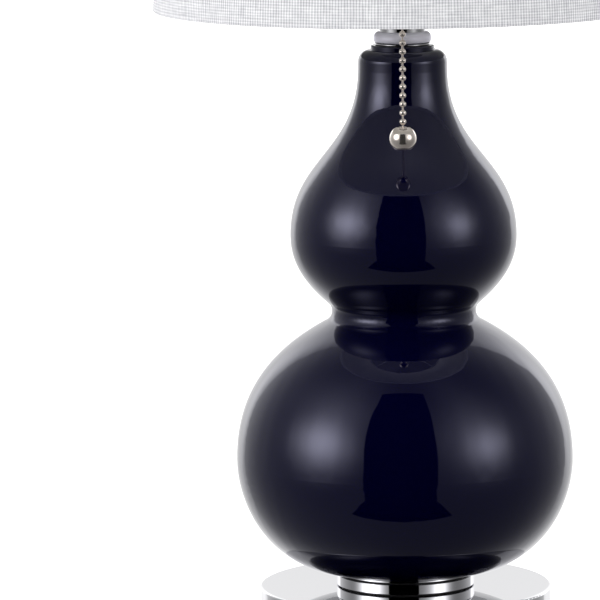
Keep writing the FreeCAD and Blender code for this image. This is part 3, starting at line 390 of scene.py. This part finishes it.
def turned(outline, rounds, steps, long_cuts=0, centre=(0, 0, 0)):
    """Turn an outline of radius and height about an upright axis; it starts and ends on the axis, or is closed."""
    shape = bmesh.new()
    corners = [shape.verts.new((centre[0], centre[1] + radius, height)) for radius, height in outline]
    chain = corners + corners[:1] if outline[0][0] else corners
    for pair in zip(chain, chain[1:]):
        shape.edges.new(pair)
    for corner, size in rounds:
        bmesh.ops.bevel(
            shape, geom=[corners[corner]], offset=size, offset_type="OFFSET", affect="VERTICES",
            segments=ROUND_SEGMENTS, profile=0.5, material=-1)
    if long_cuts:
        longest = max(shape.edges, key=lambda edge: edge.calc_length())
        bmesh.ops.subdivide_edges(shape, edges=[longest], cuts=long_cuts)
    bmesh.ops.spin(
        shape, geom=shape.verts[:] + shape.edges[:], cent=centre, axis=(0, 0, 1), angle=math.tau, steps=steps,
        use_merge=True)
    bmesh.ops.remove_doubles(shape, verts=shape.verts[:], dist=SAME_PLACE)
    bmesh.ops.recalc_face_normals(shape, faces=shape.faces[:])
    return shape


def placed(name, shape):
    """Make a shape an object in the scene."""
    mesh = bpy.data.meshes.new(name)
    shape.to_mesh(mesh)
    shape.free()
    piece = bpy.data.objects.new(name, mesh)
    bpy.context.scene.collection.objects.link(piece)
    return piece


cap = turned([
    (pipe_radius, cap_low[2]), (CAP_SPIGOT_RADIUS, cap_low[2]), (CAP_SPIGOT_RADIUS, rim_foot),
    (rim_radius, rim_foot), (rim_radius - CAP_RIM_SLOPE, rim_head), (cap_radius, rim_head),
    (cap_radius, cap_high[2]), (socket_radius, cap_high[2]), (socket_radius, tube_low[2]),
    (pipe_radius, tube_low[2])],
    rounds=[(3, CAP_EDGE_ROUND), (5, CAP_FOOT_ROUND), (6, CAP_CROWN_ROUND)], steps=CAP_STEPS)
for face in cap.faces:
    face.smooth = LEVEL < abs(face.normal.z) < UPRIGHT
    face.material_index = POLISHED_FACES if face.calc_center_median().z < rim_head else SATIN_FACES
cap_body = placed("cap_body", cap)

# Satin chrome plate over bead blasted brass: an even grey sheen with no clear picture in it. The beads' marks are
# drawn coarser than the real 0.1 mm so that they show.
BEAD_MARK = 0.0004
satin, tree, shader = new_material("satin chrome plate", {"Base Color": linear("#ECEAF6"), "Metallic": 0.6})
place = add_node(tree, "TexCoord").outputs["Object"]
blast = add_node(tree, "TexNoise", {"Vector": place, "Scale": 1 / BEAD_MARK, "Detail": 2})
connect(shader, {"Roughness": add_node(tree, "MapRange", {"Value": blast, "To Min": 0.4, "To Max": 0.5})})
connect(shader, {"Normal": add_node(tree, "Bump", {"Height": blast, "Distance": 0.00001})})
cap_body.data.materials.append(satin)
cap_body.data.materials.append(chrome)
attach(cap_body, "lamp")
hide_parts("neck_cap")

finish(chrome, "column_tube")

# ---- Cluster and arms ----
# A hollow brass body, turned and chrome plated, is screwed on the pipe. It holds two bent tube arms, each with a
# hexagon lock nut under its lampholder.

finish(chrome, "cluster_body", "front_arm", "rear_arm", "front_arm_nut", "rear_arm_nut")

# ---- Lampholders ----
# Each has a chrome plated brass cap and shell, a fibre liner, and a phenolic switch body that carries the
# aluminium screw shell, the brass contact leaf and the ratchet wheel.

HOLDER_OFFSET = 0.050
# 7 threads to the inch
SCREW_THREAD = 0.00363


def both(*names):
    """Names of the front and the rear node of each kind."""
    return [end + "_" + name for end in ("front", "rear") for name in names]


finish(chrome, *both("holder_cap", "holder_shell"))

# Vulcanised fibre: grey, pressed, with a papery tooth
PAPER_TOOTH = 0.0014
fibre, tree, shader = new_material("vulcanised fibre", {"Roughness": 0.85})
place = add_node(tree, "Mapping", {
    "Vector": add_node(tree, "TexCoord").outputs["Object"], "Scale": (1, 1, 0.3)})
paper = add_node(tree, "TexNoise", {"Vector": place, "Scale": 1 / PAPER_TOOTH, "Detail": 6})
ramp = add_node(tree, "Mix", {"Factor": paper, 6: linear("#6E6A64"), 7: linear("#8D8981")}, data_type="RGBA")
connect(shader, {"Base Color": ramp.outputs[2]})
connect(shader, {"Normal": add_node(tree, "Bump", {"Height": paper, "Distance": 0.00008})})
finish(fibre, *both("card_liner"))

# Phenolic moulding: brown-black, mottled with its wood flour filler, half gloss
FILLER_MOTTLE = 0.0022
phenolic, tree, shader = new_material("phenolic moulding", {"Roughness": 0.3})
place = add_node(tree, "TexCoord").outputs["Object"]
filler = add_node(tree, "TexNoise", {"Vector": place, "Scale": 1 / FILLER_MOTTLE, "Detail": 5})
ramp = add_node(tree, "Mix", {"Factor": filler, 6: linear("#120D0A"), 7: linear("#2E221B")}, data_type="RGBA")
connect(shader, {"Base Color": ramp.outputs[2]})
finish(phenolic, *both("switch_body", "switch_cam"))

# Rolled aluminium: soft satin, with the coarse lamp thread pressed into it
aluminium, tree, shader = new_material("rolled aluminium", {
    "Base Color": linear("#C9CBCE"), "Metallic": 1.0, "Roughness": 0.35})
pressed = thread(tree, SCREW_THREAD, HOLDER_OFFSET)
connect(shader, {"Normal": add_node(tree, "Bump", {"Height": pressed, "Distance": 0.0006})})
finish(aluminium, *both("screw_shell"))

# Spring brass: yellow, with a rolled grain along the leaf
ROLL_LINE = 0.0006
brass, tree, shader = new_material("spring brass", {"Base Color": linear("#D9B56A"), "Metallic": 1.0})
place = add_node(tree, "Mapping", {
    "Vector": add_node(tree, "TexCoord").outputs["Object"], "Scale": (0.1, 1, 1)})
roll = add_node(tree, "TexNoise", {"Vector": place, "Scale": 1 / ROLL_LINE, "Detail": 3})
connect(shader, {"Roughness": add_node(tree, "MapRange", {"Value": roll, "To Min": 0.18, "To Max": 0.42})})
finish(brass, *both("centre_contact"))

# ---- Pull chains ----
# Hollow nickel plated balls on dumbbell pins run out through a bent spout with a flared mouth. A drilled ball
# hangs on the end as a pull.

finish(chrome, *both("chain_spout"))

# Nickel plate: a warm mirror, a little softer than chrome, clouded by tumbling
TUMBLE_CLOUD = 0.004
nickel, tree, shader = new_material("polished nickel plate", {"Base Color": linear("#FAF0E8"), "Metallic": 0.95})
place = add_node(tree, "TexCoord").outputs["Object"]
cloud = add_node(tree, "TexNoise", {"Vector": place, "Scale": 1 / TUMBLE_CLOUD, "Detail": 4})
connect(shader, {"Roughness": add_node(tree, "MapRange", {"Value": cloud, "To Min": 0.07, "To Max": 0.13})})
finish(nickel, *both("chain_lead", "swivel_ball", "chain", "pendant"))

# ---- Bulbs ----
# An aluminium screw cap, rolled from sheet, is closed by black glass with a solder tip. A white moulded housing
# stands on it, with an opal dome sealed to it.

SOLDER_RADIUS = 0.0045
SOLDER_HEIGHT = 0.0012
SOLDER_ROUND = 0.00084
INSULATOR_RADIUS = 0.0108
INSULATOR_HEIGHT = 0.003
CAP_LIP = 0.0012
CAP_COLLAR_HEIGHT = 0.0065
CAP_COLLAR_INSET = 0.0003
THREAD_DEPTH = 0.0009
THREAD_RUN_OUT = 0.0015
THREAD_CUTS = 47
THREAD_STEPS = 72
METAL_FACES, GLASS_FACES, SOLDER_FACES = 0, 1, 2
# A point this near the wall or the glass counts as on it
NEAR = 0.0001


def bulb_cap(end, side):
    """Threaded bulb cap on a lampholder's axis."""
    low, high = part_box(end + "_bulb_cap")
    axis = Vector((0, side * HOLDER_OFFSET, 0))
    crest = (high[0] - low[0]) / 2
    foot = low[2] + INSULATOR_HEIGHT
    collar = high[2] - CAP_COLLAR_HEIGHT
    shape = turned([
        (0, low[2]), (SOLDER_RADIUS, low[2]), (SOLDER_RADIUS, low[2] + SOLDER_HEIGHT), (INSULATOR_RADIUS, foot),
        (crest - CAP_LIP, foot), (crest, foot + CAP_LIP), (crest, collar),
        (crest - CAP_COLLAR_INSET, collar + CAP_COLLAR_INSET), (crest - CAP_COLLAR_INSET, high[2]), (0, high[2])],
        rounds=[(1, SOLDER_ROUND)], steps=THREAD_STEPS, long_cuts=THREAD_CUTS, centre=axis)
    for vert in shape.verts:
        spoke = Vector((vert.co.x, vert.co.y - axis.y, 0))
        if spoke.length > crest - NEAR and foot + CAP_LIP < vert.co.z < collar:
            turn = math.atan2(spoke.y, spoke.x)
            wave = 0.5 - 0.5 * math.cos(math.tau * vert.co.z / SCREW_THREAD - turn)
            fade = min(1.0, (vert.co.z - foot - CAP_LIP) / THREAD_RUN_OUT, (collar - vert.co.z) / THREAD_RUN_OUT)
            vert.co -= spoke.normalized() * (THREAD_DEPTH * wave * fade)
    for face in shape.faces:
        middle = face.calc_center_median()
        radius = math.hypot(middle.x, middle.y - axis.y)
        face.smooth = abs(face.normal.z) < UPRIGHT
        if middle.z < low[2] + SOLDER_HEIGHT:
            face.material_index = SOLDER_FACES
        elif middle.z < foot + NEAR and radius < crest - CAP_LIP:
            face.material_index = GLASS_FACES
        else:
            face.material_index = METAL_FACES
    piece = placed(end + "_bulb_screw_cap", shape)
    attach(piece, end + "_bulb")
    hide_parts(end + "_bulb_cap")
    return piece


# Aluminium sheet, drawn to a cup: a soft mirror with faint upright streaks
DRAWN_STREAK = 0.0008
drawn, tree, shader = new_material("drawn aluminium", {"Base Color": linear("#CFCBC4"), "Metallic": 1.0})
place = add_node(tree, "Mapping", {
    "Vector": add_node(tree, "TexCoord").outputs["Object"], "Scale": (1, 1, 0.2)})
streaks = add_node(tree, "TexNoise", {"Vector": place, "Scale": 1 / DRAWN_STREAK, "Detail": 3})
connect(shader, {"Roughness": add_node(tree, "MapRange", {"Value": streaks, "To Min": 0.16, "To Max": 0.3})})

# Poured black glass: shiny, with small sags
GLASS_SAG = 0.0015
black_glass, tree, shader = new_material("poured black glass", {"Base Color": linear("#0B0B0F"), "Roughness": 0.12})
place = add_node(tree, "TexCoord").outputs["Object"]
sags = add_node(tree, "TexNoise", {"Vector": place, "Scale": 1 / GLASS_SAG, "Detail": 2})
connect(shader, {"Normal": add_node(tree, "Bump", {"Height": sags, "Distance": 0.0001})})

# Tin solder: pale grey, frosted where it has set
SOLDER_FROST = 0.0006
solder, tree, shader = new_material("tin solder", {"Base Color": linear("#B4B6B8"), "Metallic": 1.0})
place = add_node(tree, "TexCoord").outputs["Object"]
frost = add_node(tree, "TexNoise", {"Vector": place, "Scale": 1 / SOLDER_FROST, "Detail": 3})
connect(shader, {"Roughness": add_node(tree, "MapRange", {"Value": frost, "To Min": 0.25, "To Max": 0.5})})
connect(shader, {"Normal": add_node(tree, "Bump", {"Height": frost, "Distance": 0.00005})})

for end, side in (("front", -1), ("rear", 1)):
    piece = bulb_cap(end, side)
    for material in (drawn, black_glass, solder):
        piece.data.materials.append(material)

# Moulded polybutylene: bright white, half matt, with the mould's fine grain drawn coarser so that it shows
MOULD_GRAIN = 0.0007
housing, tree, shader = new_material("moulded polybutylene", {"Base Color": linear("#EDEDEA"), "Roughness": 0.42})
place = add_node(tree, "TexCoord").outputs["Object"]
mould = add_node(tree, "TexNoise", {"Vector": place, "Scale": 1 / MOULD_GRAIN, "Detail": 3})
connect(shader, {"Normal": add_node(tree, "Bump", {"Height": mould, "Distance": 0.00003})})
finish(housing, *both("bulb_housing"))

# Opal polycarbonate: milky, light passes a little way in
OPAL_MIST = 0.010
opal, tree, shader = new_material("opal polycarbonate", {
    "Base Color": linear("#F3F1EB"), "Subsurface Weight": 0.35, "Subsurface Radius": (0.012, 0.011, 0.010)})
place = add_node(tree, "TexCoord").outputs["Object"]
mist = add_node(tree, "TexNoise", {"Vector": place, "Scale": 1 / OPAL_MIST, "Detail": 2})
connect(shader, {"Roughness": add_node(tree, "MapRange", {"Value": mist, "To Min": 0.3, "To Max": 0.38})})
finish(opal, *both("bulb_globe"))

# ---- Riser, shade seat and shade wires ----
# A second threaded pipe rises from the cluster to a turned seat. The shade's hub, three spokes and two rings
# are steel wire and plate, welded and dipped in white enamel.

finish(threaded_zinc, "riser_pipe")
finish(chrome, "riser_nut", "shade_seat")

# Dipped enamel: white, glossy, with slight sags
ENAMEL_SAG = 0.004
enamel, tree, shader = new_material("white dipped enamel", {"Base Color": linear("#E9E9E6"), "Roughness": 0.3})
place = add_node(tree, "TexCoord").outputs["Object"]
sags = add_node(tree, "TexNoise", {"Vector": place, "Scale": 1 / ENAMEL_SAG, "Detail": 2})
connect(shader, {"Normal": add_node(tree, "Bump", {"Height": sags, "Distance": 0.0002})})
finish(enamel, "spider", "bottom_ring")

# ---- Shade ----
# A linen drum: cloth laminated to a white styrene sheet, rolled round a wire ring at either rim and lapped at a
# glued seam up the back.

# Polystyrene sheet: smooth, half matt, with the cloth's weave just printed through. It is drawn pale grey, darker
# than the real white sheet, as painted shade for the dim inside of the drum
PRINT_THROUGH = 0.0015
lining_with_painted_shade, tree, shader = new_material("polystyrene sheet greyed as painted shade", {"Base Color": linear("#CDCDCA"), "Roughness": 0.5})
place = add_node(tree, "Mapping", {
    "Vector": add_node(tree, "TexCoord").outputs["Object"], "Scale": (1, 1, 0.3)})
printed = add_node(tree, "TexNoise", {"Vector": place, "Scale": 1 / PRINT_THROUGH, "Detail": 3})
connect(shader, {"Normal": add_node(tree, "Bump", {"Height": printed, "Distance": 0.00005})})
finish(lining_with_painted_shade, "shade_lining")

CLOTH_THICKNESS = 0.0005
# How far the wall leans in, over the shade's height
SHADE_LEAN = 0.0135 / 0.254
HEM_DEPTH = 0.0054
HEM_RETURN = 0.007
RIM_ROUND = 0.0009
SEAM_LAP = 0.010
SEAM_STEP = 0.0010
COLUMNS = 360
LAP_COLUMNS = 4
WALL_CUTS = 30
# Slow swells of the cloth, so many to a metre
SWELL_DEPTH = 0.00035
SWELLS_ROUND = 18
SWELLS_UP = 6

shade_low, shade_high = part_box("shade_fabric")
foot_radius = shade_high[0]
bottom, top = shade_low[2], shade_high[2]


def drum_point(height, depth):
    """Point of the cloth's section on the +Y side, in from the drum's outer face by depth."""
    return Vector((0, foot_radius - (height - bottom) * SHADE_LEAN - depth, height))


cloth_mesh = bpy.data.meshes.new("linen_drum")
cloth = bmesh.new()
path_layer = cloth.verts.layers.float.new("path")
corners = [
    drum_point(bottom + HEM_RETURN, HEM_DEPTH), drum_point(bottom, HEM_DEPTH), drum_point(bottom, 0),
    drum_point(top, 0), drum_point(top, HEM_DEPTH), drum_point(top - HEM_RETURN, HEM_DEPTH)]
section = [cloth.verts.new(corner) for corner in corners]
for near, far in zip(section, section[1:]):
    cloth.edges.new((near, far))
bmesh.ops.bevel(
    cloth, geom=section[1:5], offset=RIM_ROUND, offset_type="OFFSET", affect="VERTICES", segments=5, profile=0.5,
    material=-1)
wall_edge = max(cloth.edges, key=lambda edge: edge.calc_length())
bmesh.ops.subdivide_edges(cloth, edges=[wall_edge], cuts=WALL_CUTS)
# The section is walked from its lower hem, for the length of cloth up to each point
here = next(vert for vert in cloth.verts if len(vert.link_edges) == 1 and vert.co.z < (bottom + top) / 2)
came_by = None
walked = 0.0
while True:
    here[path_layer] = walked
    onward = [edge for edge in here.link_edges if edge is not came_by]
    if not onward:
        break
    came_by = onward[0]
    walked += came_by.calc_length()
    here = came_by.other_vert(here)
first_column = set(cloth.verts)
round_once = bmesh.ops.spin(
    cloth, geom=cloth.verts[:] + cloth.edges[:], cent=(0, 0, 0), axis=(0, 0, 1), angle=math.tau, steps=COLUMNS,
    use_merge=False)
last_column = [each for each in round_once["geom_last"] if isinstance(each, bmesh.types.BMVert)]
before_lap = set(cloth.verts)
bmesh.ops.spin(
    cloth, geom=round_once["geom_last"], cent=(0, 0, 0), axis=(0, 0, 1), angle=SEAM_LAP / foot_radius,
    steps=LAP_COLUMNS, use_merge=False)
lap = set(cloth.verts) - before_lap
bmesh.ops.recalc_face_normals(cloth, faces=cloth.faces[:])
wall_face = max(cloth.faces, key=lambda face: face.calc_area())
if wall_face.normal.dot(wall_face.calc_center_median()) < 0:
    bmesh.ops.reverse_faces(cloth, faces=cloth.faces[:])
cloth.normal_update()
# The lap lies over the first column, so all of it is lifted at once by its own normals
for vert, lift in {vert: vert.normal * SEAM_STEP for vert in lap}.items():
    vert.co += lift
past_seam = lap | set(last_column)
angles = {}
for vert in cloth.verts:
    angle = math.atan2(-vert.co.x, vert.co.y) % math.tau
    if vert in past_seam and angle < math.pi:
        angle += math.tau
    elif vert in first_column:
        angle = 0.0
    angles[vert] = angle
    outward = Vector((vert.co.x, vert.co.y, 0)).normalized()
    swell = noise.noise(Vector((vert.co.x * SWELLS_ROUND, vert.co.y * SWELLS_ROUND, vert.co.z * SWELLS_UP)))
    vert.co += outward * (SWELL_DEPTH * swell - SWELL_DEPTH / 2)
uv_layer = cloth.loops.layers.uv.new("cut")
for face in cloth.faces:
    face.smooth = True
    for loop in face.loops:
        loop[uv_layer].uv = (angles[loop.vert] * foot_radius, loop.vert[path_layer])
cloth.to_mesh(cloth_mesh)
cloth.free()
linen_drum = bpy.data.objects.new("linen_drum", cloth_mesh)
bpy.context.scene.collection.objects.link(linen_drum)
# The cloth's thickness goes inwards, to the lining
wall = linen_drum.modifiers.new("cloth thickness", "SOLIDIFY")
wall.thickness = CLOTH_THICKNESS
wall.offset = -1.0

# Slubby linen, plain woven: off-white, matt. Its threads are about 1 mm apart, so that the over and under comes
# back every second thread, and that is the check drawn here, as single threads are too fine to show. In the colour
# the check is painted shade in the gaps between threads and a painted highlight on the crossings; the slubs are the
# yarn's own colour.
WARP_REPEAT = 0.0021
WEFT_REPEAT = 0.0020
THREAD_DRIFT = 0.0010
WARP_SHARE = 1.6
# Strength of the weave's check, both as bump height and as painted shade and highlight in the colour
WEAVE_SHADE_TONE = 0.19
SLUB_TONE = 0.65
# Slubs to a metre across the thread and along it, for slubs 2.4 mm wide and 14 mm long
SLUBS_ACROSS = 420
SLUBS_ALONG = 70
SLUB_SHIFT = (7, 3, 0)
linen, tree, shader = new_material("slubby linen", {
    "Roughness": 0.9, "Sheen Weight": 0.15, "Sheen Roughness": 0.4, "Specular IOR Level": 0.25})
cut = add_node(tree, "UVMap", uv_map="cut")
slub_warp = add_node(tree, "Mapping", {"Vector": cut, "Scale": (SLUBS_ACROSS, SLUBS_ALONG, 1)})
slub_warp = add_node(tree, "TexNoise", {"Vector": slub_warp, "Scale": 1.0, "Detail": 2.0})
slub_weft = add_node(tree, "Mapping", {
    "Vector": cut, "Scale": (SLUBS_ALONG, SLUBS_ACROSS, 1), "Location": SLUB_SHIFT})
slub_weft = add_node(tree, "TexNoise", {"Vector": slub_weft, "Scale": 1.0, "Detail": 2.0})
strands = add_node(tree, "SeparateXYZ", {0: cut})
ridges = []
for axis, slub, repeat in (("X", slub_warp, WARP_REPEAT), ("Y", slub_weft, WEFT_REPEAT)):
    drift = add_node(tree, "Math", {0: slub, 1: THREAD_DRIFT, 2: strands.outputs[axis]}, operation="MULTIPLY_ADD")
    phase = add_node(tree, "Math", {0: drift, 1: math.tau / repeat}, operation="MULTIPLY")
    ridges.append(add_node(tree, "Math", {0: phase}, operation="SINE"))
weave = add_node(tree, "Math", {0: ridges[0], 1: WARP_SHARE, 2: ridges[1]}, operation="MULTIPLY_ADD")
# The weave's crossings: bump height, and in the colour painted shade between threads and painted highlight on crowns
crossings_and_gap_shade = add_node(tree, "Math", {0: weave, 1: WEAVE_SHADE_TONE, 2: 0.5}, operation="MULTIPLY_ADD")
slubs = add_node(tree, "Math", {0: slub_warp, 1: slub_weft}, operation="ADD")
slubs = add_node(tree, "Math", {0: slubs, 1: 1.0}, operation="SUBTRACT")
# The yarn's own slubs, with the weave's painted shade and highlight laid over them
slubs_and_gap_shade = add_node(tree, "Math", {0: slubs, 1: SLUB_TONE, 2: crossings_and_gap_shade}, operation="MULTIPLY_ADD")
ramp = add_node(tree, "Mix", {"Factor": slubs_and_gap_shade, 6: linear("#AEAEB4"), 7: linear("#F3F3F5")}, data_type="RGBA")
connect(shader, {"Base Color": ramp.outputs[2]})
connect(shader, {"Normal": add_node(tree, "Bump", {"Height": crossings_and_gap_shade, "Distance": 0.0003, "Strength": 0.5})})
cloth_mesh.materials.append(linen)
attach(linen_drum, "shade")
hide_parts("shade_fabric")

# ---- Finial ----
# A brass ball, turned with its foot in one piece and chrome plated like the washer under it. It screws on the
# shade seat's post and holds the shade's hub down.

finish(chrome, "finial_washer", "finial")
